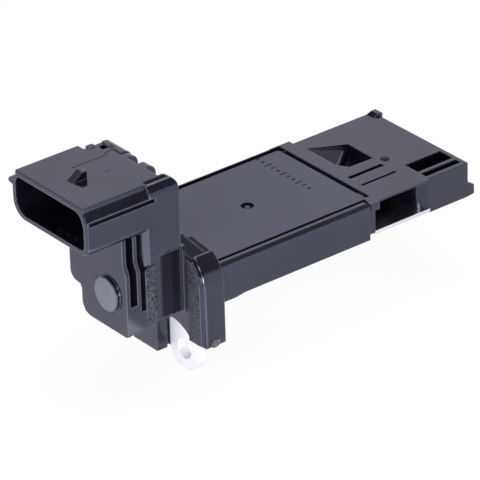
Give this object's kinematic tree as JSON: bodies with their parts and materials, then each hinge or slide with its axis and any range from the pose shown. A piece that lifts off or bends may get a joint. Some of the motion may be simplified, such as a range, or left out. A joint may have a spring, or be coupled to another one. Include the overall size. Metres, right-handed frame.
{
  "type": "mass airflow sensor",
  "caption": "Plug-in mass airflow sensor: flat blade with a side air port, screw flange with metal lugs and an angled harness socket.",
  "frame": {"origin": "centre of the blade's slot in the air duct, on the plane of the flange's seating face", "axes": "+X along the blade to its tip, into the duct; +Z out of the blade's lidded face, the side the socket stands on; +Y across the blade, away from the side with the air port"},
  "size_m": [0.1021, 0.0416, 0.0509],
  "materials": {
    "black_moulding": "satin moulded black, glass filled",
    "black_lid": "satin moulded black, glass filled",
    "sealant": "cured silicone",
    "plate_metal": "rolled sheet",
    "seal_rubber": "soft moulded rubber",
    "lug_metal": "bright zinc plate",
    "ceramic_board": "fired alumina",
    "carrier_resin": "moulding resin",
    "silicon": "polished",
    "chip_resin": "moulding resin",
    "gel": "clear silicone gel",
    "terminal_metal": "tin plate",
    "link_metal": "ribbon",
    "component": "fired ceramic with tinned ends"
  },
  "bodies": {
    "root": {"housing": "black_moulding", "bypass_housing": "black_moulding", "circuit_lid": "black_lid", "lid_sealant": "sealant", "base_plate": "plate_metal", "flange_seal": "seal_rubber", "lug_near": "lug_metal", "lug_far": "lug_metal", "circuit_board": "ceramic_board", "board_adhesive": "sealant", "sensor_carrier": "carrier_resin", "sensing_chip": "silicon", "driver_chip": "chip_resin", "circuit_gel": "gel", "terminal_1": "terminal_metal", "link_1": "link_metal", "terminal_2": "terminal_metal", "link_2": "link_metal", "terminal_3": "terminal_metal", "link_3": "link_metal", "terminal_4": "terminal_metal", "link_4": "link_metal", "terminal_5": "terminal_metal", "link_5": "link_metal", "capacitor_1": "component", "capacitor_2": "component", "capacitor_3": "component", "resistor_1": "component", "resistor_2": "component"}
  },
  "joints": []
}
